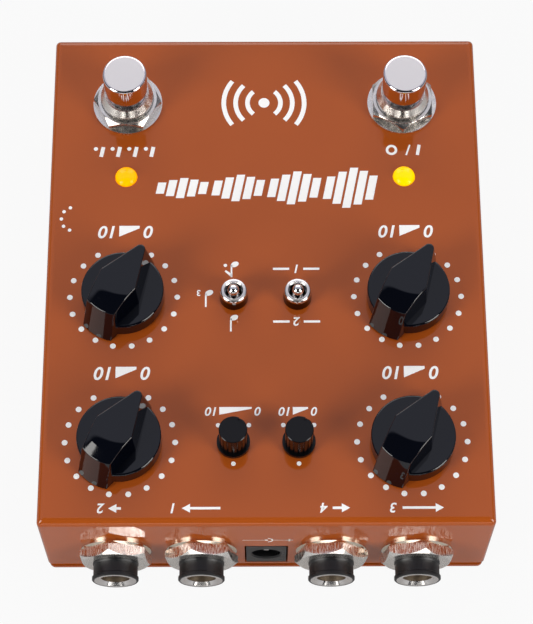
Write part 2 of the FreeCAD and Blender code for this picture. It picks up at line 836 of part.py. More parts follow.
def jack_contact():
    """The tip's spring: a strip on the window's outer wall, folded back towards the plug's tip."""
    tip_top = jack_stickout - jack_rim_depth - jack_bore_length
    wall = jack_window_reach
    inner = wall - contact_thickness
    half = contact_width / 2
    front = tip_top - 1.0
    back = tip_top - jack_tip_length + 1.0
    crest = jack_bore_radius - contact_dip
    slope = crest + contact_thickness
    outer_slope = slope + contact_thickness
    middle = (front + back) / 2
    points = [(wall, back), (wall, front), (inner, front), (inner - contact_thickness, front - 0.6),
              (slope, middle + 1.0), (crest, middle), (slope, middle - 1.0), (outer_slope, middle - 1.0),
              (slope, middle), (outer_slope, middle + 1.0), (inner, front - 1.4), (inner, back)]
    outline = Part.makePolygon([Vector(-half, y, z) for y, z in points + points[:1]])
    return Part.Face(outline).extrude(Vector(contact_width, 0, 0))


def jack_washer():
    """A dished locking washer: a flat ring whose rim is turned up a little."""
    inner = jack_nose_radius + seat_gap
    return spun([(inner, 0), (jack_washer_radius, 0), (jack_washer_radius, jack_washer_thickness * 0.55),
                 (jack_washer_radius - 0.5, jack_washer_thickness), (inner, jack_washer_thickness)])


def build_jacks():
    nut = hex_nut(jack_nut_flats, jack_nut_thickness, jack_nose_radius + seat_gap)
    nut_turns = {"right_input": 8.0, "left_input": 15.0, "right_output": -16.0, "left_output": -10.0}
    for name, x in jack_places.items():
        save(name + "_jack_body", moved(facing_rear(jack_body()), x, half_depth, jack_z))
    for name, piece in (("rims", jack_rim()), ("contacts", jack_contact()), ("washers", jack_washer())):
        laid = facing_rear(piece)
        save_group("jack_" + name, [moved(laid, x, half_depth, jack_z) for x in jack_places.values()])
    nut_y = half_depth + jack_washer_thickness
    save_group("jack_nuts", [moved(facing_rear(turned(nut, nut_turns[name])), x, nut_y, jack_z)
                             for name, x in jack_places.items()])


# Power inlet

def inlet_body():
    half = inlet_width / 2
    tall = inlet_height / 2
    case = box(-half, half, half_depth - inlet_depth, half_depth, inlet_z - tall, inlet_z + tall)
    case = case.makeFillet(0.4, edges_along(case, REAR))
    bore = rod_y(inlet_bore_radius, 0, inlet_z, half_depth - inlet_bore_depth, half_depth + 1)
    bevel = Part.makeCone(inlet_bore_radius, inlet_bore_radius + inlet_bore_bevel, inlet_bore_bevel,
                          Vector(0, half_depth - inlet_bore_bevel, inlet_z), REAR)
    return case.cut([bore, bevel])


def inlet_pin():
    """The centre pin, from the bore's floor to just behind the face, with a rounded tip."""
    length = inlet_bore_depth - 1.0
    pin = spun([(0, 0), (inlet_pin_radius, 0), (inlet_pin_radius, length - 0.4),
                (inlet_pin_radius - 0.4, length), (0, length)])
    return moved(facing_rear(pin), 0, half_depth - inlet_bore_depth, inlet_z)


def build_inlet():
    save("dc_inlet_body", inlet_body())
    save("dc_inlet_pin", inlet_pin())


# Five-pin socket: modelled along +Z with its face at zero, then laid over to +X

def facing_right(shape):
    """Lays a piece that was made along +Z over, so that it points along +X."""
    copy = shape.copy()
    copy.rotate(Vector(0, 0, 0), REAR, 90)
    return copy


def midi_pin_places():
    """Five pins on a circle, 45 degrees apart, over the upper half of the face."""
    places = []
    for step in range(5):
        angle = math.radians(-90 + 45 * step)
        places.append((-midi_pin_circle * math.cos(angle), midi_pin_circle * math.sin(angle)))
    return places


def midi_body():
    half = midi_body_width / 2
    tall = midi_body_height / 2
    back = sheet + midi_body_depth
    case = box(-tall, tall, -half, half, -back, -sheet)
    face = post(midi_face_radius, 0, 0, -sheet, 0)
    recess = post(midi_recess_radius, 0, 0, -midi_recess_depth, 1)
    core = post(midi_core_radius, 0, 0, -midi_recess_depth, -midi_core_setback)
    key = box(0, midi_recess_radius, -midi_key_width / 2, midi_key_width / 2, -midi_recess_depth,
              -midi_core_setback).common(post(midi_recess_radius, 0, 0, -midi_recess_depth, 0))
    slots = [post(midi_contact_radius, x, y, -midi_contact_length, 0) for x, y in midi_pin_places()]
    return case.fuse(face).cut(recess).fuse([core, key]).removeSplitter().cut(slots)


def midi_shield():
    """The thin metal sleeve that lines the recess, open at the key."""
    outer = midi_recess_radius
    sleeve = post(outer, 0, 0, -midi_recess_depth, -midi_shield_setback).cut(
        post(outer - midi_shield_thickness, 0, 0, -midi_recess_depth - 1, 0))
    half = midi_key_width / 2 + seat_gap
    return sleeve.cut(box(0, outer + 1, -half, half, -midi_recess_depth - 1, 0))


def midi_contact():
    foot = -midi_contact_length
    socket = post(midi_contact_hole, 0, 0, foot + 1, 0)
    return post(midi_contact_radius, 0, 0, foot, -midi_contact_setback).cut(socket)


def build_midi_socket():
    place = (half_width, midi_y, midi_z)
    save("midi_socket_body", moved(facing_right(midi_body()), *place))
    save("midi_socket_shield", moved(facing_right(midi_shield()), *place))
    contacts = [moved(facing_right(moved(midi_contact(), x, y, 0)), *place) for x, y in midi_pin_places()]
    save_group("midi_socket_contacts", contacts)


# Electronic parts that hang from the underside of the main board

def chip(x, y):
    return box(x - chip_length / 2, x + chip_length / 2, y - chip_width / 2, y + chip_width / 2,
               board_under - chip_height, board_under)


def capacitor(x, y):
    return post(capacitor_radius, x, y, board_under - capacitor_height, board_under)


def build_electronics():
    """Chips in a block at the front left, and one row of capacitors on each side of the regulator."""
    chip_rows = [board_front + chip_margin + chip_width / 2 + row * chip_row_pitch for row in range(2)]
    chips = [chip(-column * chip_column_pitch, y) for y in chip_rows for column in range(2)]
    save_group("board_chips", chips)
    cans = []
    for step in range(capacitor_count):
        x = capacitor_first + step * capacitor_pitch
        cans += [capacitor(x, capacitor_row_y), capacitor(-x, capacitor_row_y)]
    save_group("board_capacitors", cans)
    front = capacitor_row_y - regulator_depth / 2
    save("voltage_regulator", box(-regulator_width / 2, regulator_width / 2, front, front + regulator_depth,
                                  board_under - regulator_height, board_under))


os.makedirs("parts", exist_ok=True)
build_case()
build_boards()
build_dials()
build_small_knobs()
build_toggles()
build_footswitches()
build_lamps()
build_jacks()
build_inlet()
build_midi_socket()
build_electronics()
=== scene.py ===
import json
import math

import bmesh
import bpy
from mathutils import Euler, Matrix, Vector


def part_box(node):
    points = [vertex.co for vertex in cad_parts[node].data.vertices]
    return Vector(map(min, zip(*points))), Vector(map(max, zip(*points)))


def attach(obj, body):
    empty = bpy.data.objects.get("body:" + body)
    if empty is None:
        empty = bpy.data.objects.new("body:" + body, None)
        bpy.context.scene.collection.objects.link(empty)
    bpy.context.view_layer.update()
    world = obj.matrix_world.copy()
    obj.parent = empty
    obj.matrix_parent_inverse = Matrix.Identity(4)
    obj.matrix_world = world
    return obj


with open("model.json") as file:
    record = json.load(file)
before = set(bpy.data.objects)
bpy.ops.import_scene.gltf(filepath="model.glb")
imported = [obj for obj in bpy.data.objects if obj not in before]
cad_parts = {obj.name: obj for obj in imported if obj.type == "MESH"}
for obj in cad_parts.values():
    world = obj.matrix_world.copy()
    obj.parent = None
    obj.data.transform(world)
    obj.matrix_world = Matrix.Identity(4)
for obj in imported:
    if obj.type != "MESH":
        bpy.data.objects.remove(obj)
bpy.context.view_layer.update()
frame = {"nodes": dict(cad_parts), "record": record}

MM = 0.001

# The base plate's turned edge
RIM_DROP = 1.45 * MM
RIM_SEAM = 0.2 * MM
RIM_INSET = 0.1 * MM
RIM_EDGE = 0.2 * MM
RIM_WIDTH = 1.3 * MM
RIM_CORNER = 1.5 * MM
RIM_STEPS = 6

# Plastics: two tones on screen, the roughness, and the scale and strength of the grain
PLASTICS = {
    "knob_plastic": ((3, 5, 12), (5, 7, 15), 0.05, 900, 0.012),
    "small_knob_plastic": ((8, 8, 10), (12, 11, 13), 0.2, 1500, 0.06),
    "jack_plastic": ((12, 12, 14), (17, 17, 19), 0.3, 900, 0.05),
    "component_plastic": ((30, 30, 32), (38, 38, 40), 0.5, 900, 0.1),
    "foot_rubber": ((22, 22, 22), (30, 30, 30), 0.8, 1400, 0.4),
    "circuit_board": ((18, 80, 44), (26, 92, 52), 0.35, 500, 0.1),
}
SMALL_KNOB_IOR = 1.36
SOCKET_PLASTIC = ((10, 10, 12), (15, 15, 17), 0.4, 900, 0.04)
SLEEVE_TONE = (180, 164, 144)

# Clean metals: two tones, the roughness, and the grain's strength
METALS = {
    "chrome": ((226, 224, 222), (234, 232, 230), 0.07, 0.01),
    "zinc_steel": ((196, 196, 198), (208, 208, 210), 0.28, 0.1),
    "contact_metal": ((222, 196, 140), (232, 206, 150), 0.25, 0.05),
}

# Worn metals: two tones, the roughness at its smoothest and its roughest, and the scratches' strength
WORN_METALS = {
    "switch_nickel": ((226, 220, 212), (248, 244, 238), 0.14, 0.3, 0.14),
    "washer_nickel": ((222, 208, 188), (240, 228, 210), 0.1, 0.2, 0.05),
    "rim_nickel": ((236, 232, 228), (250, 248, 246), 0.08, 0.24, 0.06),
}

# Lit lenses: two tones
LENSES = {
    "lamp_lens": ((255, 176, 0), (255, 184, 0)),
    "bright_lamp_lens": ((255, 204, 0), (255, 211, 0)),
}

# Sizes in the materials
GRAIN_DEPTH = 0.1 * MM
PEEL_DEPTH = 0.2 * MM
COLLAR_RIM = 0.9 * MM
COLLAR_BLEND = 0.4 * MM
SLEEVE_RADIUS = 3.4 * MM
SLEEVE_BLEND = 0.1 * MM

# Sockets of the colour mixing node
MIX_FACTOR = 0
MIX_FIRST = 6
MIX_SECOND = 7
MIX_RESULT = 2

# Print: the places and sizes from here to the light are in millimetres
PRINT_HEIGHT = 0.03
ROUND_SIDES = 20
SMALL_ROUND_SIDES = 12
ARC_STEPS = 16
FIGURE_SLANT = 0.2
FIGURE_WEIGHT = 0.02
FIGURE_STEPS = 4

# Dots round the dials
DOT_RADIUS = 0.65
DOT_RING_RADIUS = 12.17
DOT_COUNT = 16
DOT_GAP = math.radians(60)
SMALL_DOT_RADIUS = 0.52
SMALL_DOTS = ((-3.4, -4.25), (3.4, -4.25), (0, 4.75))

# Labels of the dials, the wedge's measures as shares of the label's height
DIAL_LABEL_DROP = 16.4
DIAL_LABEL_WIDTH = 12.6
DIAL_LABEL_HEIGHT = 3.2
SMALL_LABELS = ((7.4, 34.65, 12.4), (-7.0, 34.7, 8.6))
SMALL_LABEL_HEIGHT = 2.1
NOUGHT_INSET = 0.32
TEN_INSET = 0.62
WEDGE_AFTER_NOUGHT = 0.62
WEDGE_BEFORE_TEN = 0.92
WEDGE_LOW = 0.2
WEDGE_HIGH = 0.86

# Notes: the middle of the head and the stem's height
NOTE_TILT = math.radians(25)
NOTE_HALF_LENGTH = 0.95
NOTE_HALF_WIDTH = 0.66
STEM_OUT = 0.75
STEM_FOOT = 0.2
STEM_WIDTH = 0.38
DOTTED_NOTE = (7.0, -1.25, 3.2)
DOTTED_NOTE_FLAG = ((7.75, 1.95), (9.3, 0.55), (9.05, 0.15), (7.75, 1.1))
DOTTED_NOTE_DOT = (9.15, -1.0, 0.42)
TRIPLET_NOTE = (12.8, 5.85, 3.5)
TRIPLET_FIGURE = (15.2, 5.9, 1.5)
PLAIN_NOTE = (7.1, 12.0, 3.4)

# Numbers at the two-way toggle, between dashes
TOGGLE_NUMBERS = (("1", -0.1), ("2", 13.0))
TOGGLE_NUMBER_X = -7.0
TOGGLE_NUMBER_HEIGHT = 2.1
TOGGLE_DASHES = ((-12.3, -8.6), (-5.4, -1.7))
TOGGLE_DASH_WIDTH = 0.55

# Beats at the tapped footswitch
BEAT_COUNT = 4
BEAT_LEFT = 26.1
BEAT_STEP = 3.9
BEAT_TOP = -29.0
BEAT_FOOT = -31.6
BEAT_LEAN = 0.5
BEAT_WIDTH = 0.9
BEAT_DOT_OUT = 1.75
BEAT_DOT_Y = -31.1
BEAT_DOT_RADIUS = 0.5
BEAT_DOT_SIDES = 14

# Line, slash and ring at the other footswitch: start, end and width of each stroke
POWER_STROKES = (((-35.6, -29.3), (-36.1, -32.0), 0.75), ((-33.0, -29.3), (-33.9, -32.0), 0.4))
POWER_RING = (-29.6, -30.65, 1.05, 0.62)
POWER_RING_STEPS = 24

# Large sign of fading echoes
ECHO_LEFT = -25.6
ECHO_FOOT = -26.0
ECHO_HEIGHT = 10.4
ECHO_LEAN = 0.2
ECHO_STRENGTHS = (1.0, 0.82, 0.66, 0.5)
ECHO_SHAPE = (0.6, 0.84, 1.0, 0.8, 0.56)
ECHO_BAR_WIDTH = 1.9
ECHO_BAR_STEP = 2.45
ECHO_GROUP_GAP = 0.75

# Sign of sound that goes out: radius and half angle of each wave
SOUND_CENTER = (0.2, -43.3)
SOUND_DOT = 1.3
SOUND_DOT_SIDES = 24
SOUND_WAVES = ((3.9, 50), (6.7, 44), (9.5, 38))
SOUND_WIDTH = 1.1

# Signs at the jack sockets: the number, its place, then the arrow's tail and tip
JACK_SIGNS = (("2", 36.0, 31.6, 34.4), ("1", 20.4, 10.0, 18.4),
              ("4", -12.5, -14.4, -18.2), ("3", -27.6, -29.6, -38.6))
JACK_LABEL_Y = 57.1
JACK_LABEL_HEIGHT = 2.4
JACK_NUMBER_SHARE = 0.95
ARROW_HEAD_SHARE = 0.75
ARROW_SHAFT_SHARE = 0.24
ARROW_HALF_SHARE = 0.42

# Sign at the round socket
PIN_ANGLES = (-80, -40, 0, 40, 80)
PIN_CENTER = (44.6, -12.9)
PIN_REACH = (2.4, 2.9)
PIN_RADIUS = 0.42

# Sign over the power inlet, drawn flat about its own dot before it is laid on the wall
POLARITY_DROP = 11.5
POLARITY_DOT = 0.42
POLARITY_DOT_SIDES = 16
POLARITY_BOWL = (1.35, 0.34, 105, 255)
POLARITY_STROKES = (((5.3, 0), (0, 0), 0.2), ((-1.4, 0), (-5.9, 0), 0.2),
                    ((-4.4, 0), (-5.9, 0), 0.4), ((-5.1, -0.75), (-5.1, 0.75), 0.4))

# Light: each lamp's name, place, width and height in metres, and power in watts
LIGHT_COLOR = (1.0, 0.985, 0.955)
LIGHT_TARGET = (0, 0, 0.02)
LIGHTS = (
    ("left", (0.66, 0.462, 0.42), 0.37, 0.68, 5.5),
    ("right", (-0.66, 0.462, 0.42), 0.37, 0.68, 5.5),
    ("front", (0, -0.9, 0.5), 1.2, 0.7, 5.0),
    ("jack_side", (0, 0.95, 0.1), 0.9, 0.14, 0.9),
)
WORLD_CEILING = (0.55, 0.565, 0.665, 1)
WORLD_SEEN = (0.97, 0.97, 0.97, 1)
WORLD_DARK = 0.05
CEILING_WAY = Vector((0, -0.4, 0.916))
CEILING_EDGE = (0.35, 0.6)
DARK_WAY = Vector((0, 1, 0.9))
DARK_EDGE = (0.56, 0.61)

# Floor
FLOOR_REACH = 3.0
FLOOR_DROP = 0.05 * MM
FLOOR_WHITE = 0.93
FLOOR_MIRRORED = 0.1
FLOOR_COLOR = (0.36, 0.36, 0.36, 1)

# Camera, fitted to the photograph
CAMERA_LENS = 121.56
CAMERA_SENSOR = 36
CAMERA_PLACE = (1.349 * MM, 201.202 * MM, 470.677 * MM)
CAMERA_TURN = Euler((math.radians(23.578), math.radians(-0.1075), math.radians(179.782)))


def box_corners(node):
    """The low and the high corner of a node's box."""
    return [Vector(corner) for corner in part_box(node)]


def box_center(node):
    low, high = box_corners(node)
    return (low + high) / 2


# Places from the frame
case_high = box_corners("case_shell")[1]
foot_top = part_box("base_plate")[0][2]
jack_height = box_center("jack_rims").z
jack_names = [name for name in frame["nodes"] if name.endswith("_jack_body")]
dial_centers = [box_center(name + "_shaft") for name in ("tempo", "repeat", "volume", "echo")]
small_centers = [box_center(name + "_pot_body") for name in ("input_gain", "hi_cut")]


# Nodes of a material

def new_material(name):
    material = bpy.data.materials.new(name)
    material.use_nodes = True
    return material, material.node_tree, material.node_tree.nodes["Principled BSDF"]


def new_metal(name):
    material, tree, shader = new_material(name)
    shader.inputs["Metallic"].default_value = 1.0
    return material, tree, shader


def srgb(red, green, blue):
    """A colour as it looks on screen, turned into the linear values that the shader takes."""
    values = []
    for value in (red, green, blue):
        value /= 255
        values.append(value / 12.92 if value <= 0.04045 else ((value + 0.055) / 1.055) ** 2.4)
    return (*values, 1)


def noise(tree, scale, detail=3.0, roughness=0.5, stretch=(1, 1, 1)):
    """A noise texture in the object's own space, in features per metre."""
    coords = tree.nodes.new("ShaderNodeTexCoord")
    mapping = tree.nodes.new("ShaderNodeMapping")
    mapping.inputs["Scale"].default_value = stretch
    texture = tree.nodes.new("ShaderNodeTexNoise")
    texture.inputs["Scale"].default_value = scale
    texture.inputs["Detail"].default_value = detail
    texture.inputs["Roughness"].default_value = roughness
    tree.links.new(coords.outputs["Object"], mapping.inputs["Vector"])
    tree.links.new(mapping.outputs["Vector"], texture.inputs["Vector"])
    return texture.outputs["Fac"]


def ramp(tree, value, low, high, out_low, out_high):
    """Maps a value from one range to another."""
    node = tree.nodes.new("ShaderNodeMapRange")
    node.inputs["From Min"].default_value = low
    node.inputs["From Max"].default_value = high
    node.inputs["To Min"].default_value = out_low
    node.inputs["To Max"].default_value = out_high
    tree.links.new(value, node.inputs["Value"])
    return node.outputs["Result"]


def mix_color(tree, factor, first, second):
    """A blend of two colours, the first of which may come from another node."""
    node = tree.nodes.new("ShaderNodeMix")
    node.data_type = "RGBA"
    if isinstance(first, bpy.types.NodeSocket):
        tree.links.new(first, node.inputs[MIX_FIRST])
    else:
        node.inputs[MIX_FIRST].default_value = first
    node.inputs[MIX_SECOND].default_value = second
    tree.links.new(factor, node.inputs[MIX_FACTOR])
    return node.outputs[MIX_RESULT]


def calculate(tree, operation, *values):
    """One operation on values, each of them a number or another node's result."""
    node = tree.nodes.new("ShaderNodeMath")
    node.operation = operation
    for socket, value in zip(node.inputs, values):
        if isinstance(value, bpy.types.NodeSocket):
            tree.links.new(value, socket)
        else:
            socket.default_value = value
    return node.outputs[0]


def vector_math(tree, operation, vector, other=(0, 0, 0)):
    node = tree.nodes.new("ShaderNodeVectorMath")
    node.operation = operation
    node.inputs[1].default_value = other
    tree.links.new(vector, node.inputs[0])
    return node.outputs


def coordinate_z(tree, space):
    """In Object space the height over the floor in metres, in Normal how far a face looks up."""
    coords = tree.nodes.new("ShaderNodeTexCoord")
    split = tree.nodes.new("ShaderNodeSeparateXYZ")
    tree.links.new(coords.outputs[space], split.inputs[0])
    return split.outputs["Z"]


def set_color(tree, shader, pattern, first, second):
    """The base colour, which goes from one tone on screen to another with a pattern."""
    color = mix_color(tree, pattern, srgb(*first), srgb(*second))
    tree.links.new(color, shader.inputs["Base Color"])
    return color


def set_roughness(tree, shader, pattern, span, smooth, rough):
    """The roughness, which goes from smooth to rough over a span of the pattern's values."""
    tree.links.new(ramp(tree, pattern, *span, smooth, rough), shader.inputs["Roughness"])


def set_bump(tree, shader, pattern, strength, distance=GRAIN_DEPTH):
    node = tree.nodes.new("ShaderNodeBump")
    node.inputs["Strength"].default_value = strength
    node.inputs["Distance"].default_value = distance
    tree.links.new(pattern, node.inputs["Height"])
    tree.links.new(node.outputs["Normal"], shader.inputs["Normal"])


# Materials

def paint_material():
    """Glossy baked enamel: a faint orange-peel bump, slight cloudiness in the colour, a clear coat."""
    material, tree, shader = new_material("case_paint")
    clouds = noise(tree, scale=55, detail=2.0)
    peel = noise(tree, scale=500, detail=1.0)
    set_color(tree, shader, clouds, (164, 76, 20), (170, 81, 26))
    set_bump(tree, shader, peel, strength=0.04, distance=PEEL_DEPTH)
    shader.inputs["Roughness"].default_value = 0.5
    shader.inputs["Specular IOR Level"].default_value = 0.0
    shader.inputs["Coat Weight"].default_value = 1.0
    shader.inputs["Coat Roughness"].default_value = 0.04
    shader.inputs["Coat IOR"].default_value = 1.5
    return material


def plastic_material(name, first, second, roughness, grain_scale, grain_strength):
    material, tree, shader = new_material(name)
    clouds = noise(tree, scale=180, detail=3.0)
    wear = noise(tree, scale=420, detail=4.0)
    grain = noise(tree, grain_scale, detail=2.0)
    set_color(tree, shader, clouds, first, second)
    set_roughness(tree, shader, wear, (0.3, 0.7), smooth=roughness * 0.85, rough=roughness * 1.2)
    set_bump(tree, shader, grain, grain_strength)
    return material


def metal_material(name, first, second, roughness, grain_strength):
    material, tree, shader = new_metal(name)
    clouds = noise(tree, scale=300, detail=4.0)
    wear = noise(tree, scale=900, detail=5.0)
    grain = noise(tree, scale=1500, detail=3.0)
    set_color(tree, shader, clouds, first, second)
    set_roughness(tree, shader, wear, (0.3, 0.7), smooth=roughness * 0.7, rough=roughness * 1.3)
    set_bump(tree, shader, grain, grain_strength)
    return material


def worn_metal(name, first, second, smooth, rough, scratching):
    """Plated brass that a spanner has turned: dull and bright patches, with fine scratches."""
    material, tree, shader = new_metal(name)
    clouds = noise(tree, scale=420, detail=4.0)
    wear = noise(tree, scale=700, detail=5.0, roughness=0.65)
    scratches = noise(tree, scale=4000, detail=4.0, roughness=0.7, stretch=(1, 0.2, 0.2))
    set_color(tree, shader, clouds, first, second)
    set_roughness(tree, shader, wear, (0.35, 0.65), smooth, rough)
    set_bump(tree, shader, scratches, scratching)
    return material


def button_material():
    """Polished chrome on the sides and the edge, rubbed to satin where feet press."""
    material, tree, shader = new_metal("button_chrome")
    level = ramp(tree, coordinate_z(tree, "Normal"), 0.97, 0.995, 0.0, 1.0)
    scratches = noise(tree, scale=3500, detail=4.0, roughness=0.7, stretch=(1, 1, 0.15))
    set_color(tree, shader, level, (236, 228, 230), (243, 237, 231))
    set_roughness(tree, shader, level, (0.0, 1.0), smooth=0.08, rough=0.3)
    set_bump(tree, shader, scratches, strength=0.06)
    return material


def jack_nut_material():
    """Machined nickel: fine ridges along the nut's axis scatter part of the light and mirror the rest."""
    material, tree, shader = new_metal("jack_nickel")
    clouds = noise(tree, scale=500, detail=3.0)
    ridges = noise(tree, scale=11000, detail=2.0, roughness=0.6, stretch=(1, 0.06, 1))
    set_color(tree, shader, clouds, (240, 236, 230), (250, 248, 244))
    set_roughness(tree, shader, ridges, (0.45, 0.62), smooth=0.07, rough=0.5)
    set_bump(tree, shader, ridges, strength=0.02)
    return material


def collar_material():
    """A toggle's collar: a polished rim over a wall whose colour is painted dark below the rim, a painted
    shade standing in for the dark panel that the wall mirrors.
    """
    material, tree, shader = new_metal("collar_nickel")
    rim = box_corners("toggle_collars")[1].z - COLLAR_RIM
    # Painted shade: by height, the colour goes from a dark tone on the lower wall to the rim's bright
    # tone
    shade = ramp(tree, coordinate_z(tree, "Object"), rim - COLLAR_BLEND, rim, 0.0, 1.0)
    level = coordinate_z(tree, "Normal")
    grain = noise(tree, scale=3000, detail=3.0)
    set_color(tree, shader, shade, (70, 58, 52), (226, 222, 220))
    set_roughness(tree, shader, level, (0.6, 0.9), smooth=0.14, rough=0.34)
    set_bump(tree, shader, grain, strength=0.06)
    return material


def jack_material(name):
    """Moulded plastic with a metal sleeve in its bore, told apart by the distance from its axis."""
    material = plastic_material(name, *SOCKET_PLASTIC)
    tree = material.node_tree
    shader = tree.nodes["Principled BSDF"]
    coords = tree.nodes.new("ShaderNodeTexCoord")
    axis = (box_center(name).x, 0, jack_height)
    off_axis = vector_math(tree, "SUBTRACT", coords.outputs["Object"], axis)[0]
    across = vector_math(tree, "MULTIPLY", off_axis, (1, 0, 1))[0]
    distance = vector_math(tree, "LENGTH", across)["Value"]
    sleeve = ramp(tree, distance, SLEEVE_RADIUS, SLEEVE_RADIUS + SLEEVE_BLEND, 1.0, 0.0)
    plastic = shader.inputs["Base Color"].links[0].from_socket
    color = mix_color(tree, sleeve, plastic, srgb(*SLEEVE_TONE))
    tree.links.new(color, shader.inputs["Base Color"])
    tree.links.new(sleeve, shader.inputs["Metallic"])
    return material


def lens_material(name, first, second):
    """A lit yellow lens."""
    material, tree, shader = new_material(name)
    glow = set_color(tree, shader, noise(tree, scale=500, detail=1.0), first, second)
    tree.links.new(glow, shader.inputs["Emission Color"])
    shader.inputs["Emission Strength"].default_value = 0.45
    shader.inputs["Roughness"].default_value = 0.08
    shader.inputs["IOR"].default_value = 1.3
    return material


def ink_material():
    material, tree, shader = new_material("print_ink")
    set_color(tree, shader, noise(tree, scale=2500, detail=2.0), (253, 251, 246), (255, 254, 251))
    shader.inputs["Roughness"].default_value = 0.3
    return material


materials = {"case_paint": paint_material()}
materials.update({name: plastic_material(name, *look) for name, look in PLASTICS.items()})
materials.update({name: metal_material(name, *look) for name, look in METALS.items()})
materials.update({name: worn_metal(name, *look) for name, look in WORN_METALS.items()})
materials.update({name: lens_material(name, *look) for name, look in LENSES.items()})
small_knob_shader = materials["small_knob_plastic"].node_tree.nodes["Principled BSDF"]
small_knob_shader.inputs["IOR"].default_value = SMALL_KNOB_IOR
ink = ink_material()
button_chrome = button_material()

# Nodes with a finish of their own
finishes = {
    "tap_button": button_chrome,
    "bypass_button": button_chrome,
    "footswitch_bushings": materials["switch_nickel"],
    "footswitch_nuts": materials["switch_nickel"],
    "footswitch_washers": materials["switch_nickel"],
    "jack_nuts": jack_nut_material(),
    "jack_washers": materials["washer_nickel"],
    "jack_rims": materials["rim_nickel"],
    "toggle_collars": collar_material(),
    "status_lamp": materials["bright_lamp_lens"],
}
finishes.update({name: jack_material(name) for name in jack_names})


def dress_nodes():
    """Gives every node its slot's material, or a finish of its own."""
    for part in frame["record"]["subparts"]:
        node = frame["nodes"][part["node"]]
        for slot in node.material_slots:
            slot.material = finishes.get(part["node"], materials[part["material_slot"]])


# Mesh helpers

def add_object(name, data, material):
    piece = bpy.data.objects.new(name, data)
    bpy.context.scene.collection.objects.link(piece)
    piece.data.materials.append(material)
    return piece


def add_to_case(name, built, material):
    """Turns a built mesh into a piece that rides with the housing."""
    mesh = bpy.data.meshes.new(name)
    built.to_mesh(mesh)
    built.free()
    piece = add_object(name, mesh, material)
    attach(piece, "housing")
    return piece


def around(x, y, radius, angle):
    """The point at an angle on a circle round x and y."""
    return x + radius * math.cos(angle), y + radius * math.sin(angle)


def base_rim():
    """The base plate's turned edge, which shows as a thin band under the cover, past a dark seam."""
    rim = bmesh.new()
    low = foot_top - RIM_DROP
    high = foot_top - RIM_SEAM
    section = ((RIM_INSET, high), (RIM_INSET, low + RIM_EDGE), (RIM_INSET + RIM_EDGE, low),
               (RIM_WIDTH, low), (RIM_WIDTH, high))
    loops = []
    for inset, height in section:
        reach = RIM_CORNER - inset
        loop = []
        for side_x, side_y in ((1, 1), (-1, 1), (-1, -1), (1, -1)):
            x = side_x * (case_high.x - RIM_CORNER)
            y = side_y * (case_high.y - RIM_CORNER)
            start = math.atan2(side_y, side_x) - math.pi / 4
            for k in range(RIM_STEPS + 1):
                angle = start + math.pi / 2 * k / RIM_STEPS
                loop.append(rim.verts.new((*around(x, y, reach, angle), height)))
        loops.append(loop)
    for k, loop in enumerate(loops):
        following = loops[(k + 1) % len(loops)]
        for i in range(len(loop)):
            j = (i + 1) % len(loop)
            rim.faces.new((loop[i], following[i], following[j], loop[j]))
    bmesh.ops.recalc_face_normals(rim, faces=rim.faces)
    add_to_case("base_rim", rim, materials["case_paint"])


# Print

def flat_shape(target, points):
    """One flat printed shape on the panel, from its outline."""
    height = case_high.z + PRINT_HEIGHT * MM
    face = target.faces.new([target.verts.new((x * MM, y * MM, height)) for x, y in points])
    face.normal_update()
    if face.normal.z < 0:
        face.normal_flip()


def disc(target, x, y, radius, sides=ROUND_SIDES):
    flat_shape(target, [around(x, y, radius, 2 * math.pi * k / sides) for k in range(sides)])


def stroke(target, start, end, width):
    """A straight printed line with square ends."""
    along = Vector((end[0] - start[0], end[1] - start[1]))
    side = Vector((-along.y, along.x)).normalized() * width / 2
    flat_shape(target, [(start[0] + side.x, start[1] + side.y), (start[0] - side.x, start[1] - side.y),
                        (end[0] - side.x, end[1] - side.y), (end[0] + side.x, end[1] + side.y)])


def arc_stroke(target, x, y, radius, width, first, last, steps=ARC_STEPS):
    """A printed line along part of a circle, its angles in degrees."""
    angles = [math.radians(first + (last - first) * k / steps) for k in range(steps + 1)]
    inner = [around(x, y, radius - width / 2, angle) for angle in angles]
    outer = [around(x, y, radius + width / 2, angle) for angle in angles]
    for k in range(steps):
        flat_shape(target, [inner[k], outer[k], outer[k + 1], inner[k + 1]])


def number(target, text, x, y, height, slant=FIGURE_SLANT):
    """A plain number with its middle at x and y, in heavy figures."""
    curve = bpy.data.curves.new("figures", "FONT")
    curve.body = text
    curve.size = 1
    curve.shear = slant
    curve.offset = FIGURE_WEIGHT
    curve.resolution_u = FIGURE_STEPS
    piece = bpy.data.objects.new("figures", curve)
    bpy.context.scene.collection.objects.link(piece)
    mesh = bpy.data.meshes.new_from_object(piece.evaluated_get(bpy.context.evaluated_depsgraph_get()))
    bpy.data.objects.remove(piece)
    xs = [vertex.co.x for vertex in mesh.vertices]
    ys = [vertex.co.y for vertex in mesh.vertices]
    middle_x = (min(xs) + max(xs)) / 2
    middle_y = (min(ys) + max(ys)) / 2
    scale = height * MM / (max(ys) - min(ys))
    for vertex in mesh.vertices:
        vertex.co = ((vertex.co.x - middle_x) * scale + x * MM, (vertex.co.y - middle_y) * scale + y * MM,
                     case_high.z + PRINT_HEIGHT * MM)
    target.from_mesh(mesh)
    bpy.data.meshes.remove(mesh)


def dial_dots():
    dots = bmesh.new()
    span = 2 * math.pi - DOT_GAP
    for center in dial_centers:
        for step in range(DOT_COUNT):
            angle = -math.pi / 2 + DOT_GAP / 2 + span * step / (DOT_COUNT - 1)
            disc(dots, *around(center.x / MM, center.y / MM, DOT_RING_RADIUS, angle), DOT_RADIUS)
    for center in small_centers:
        for x, y in SMALL_DOTS:
            disc(dots, center.x / MM + x, center.y / MM + y, SMALL_DOT_RADIUS)
    add_to_case("dial_dots", dots, ink)


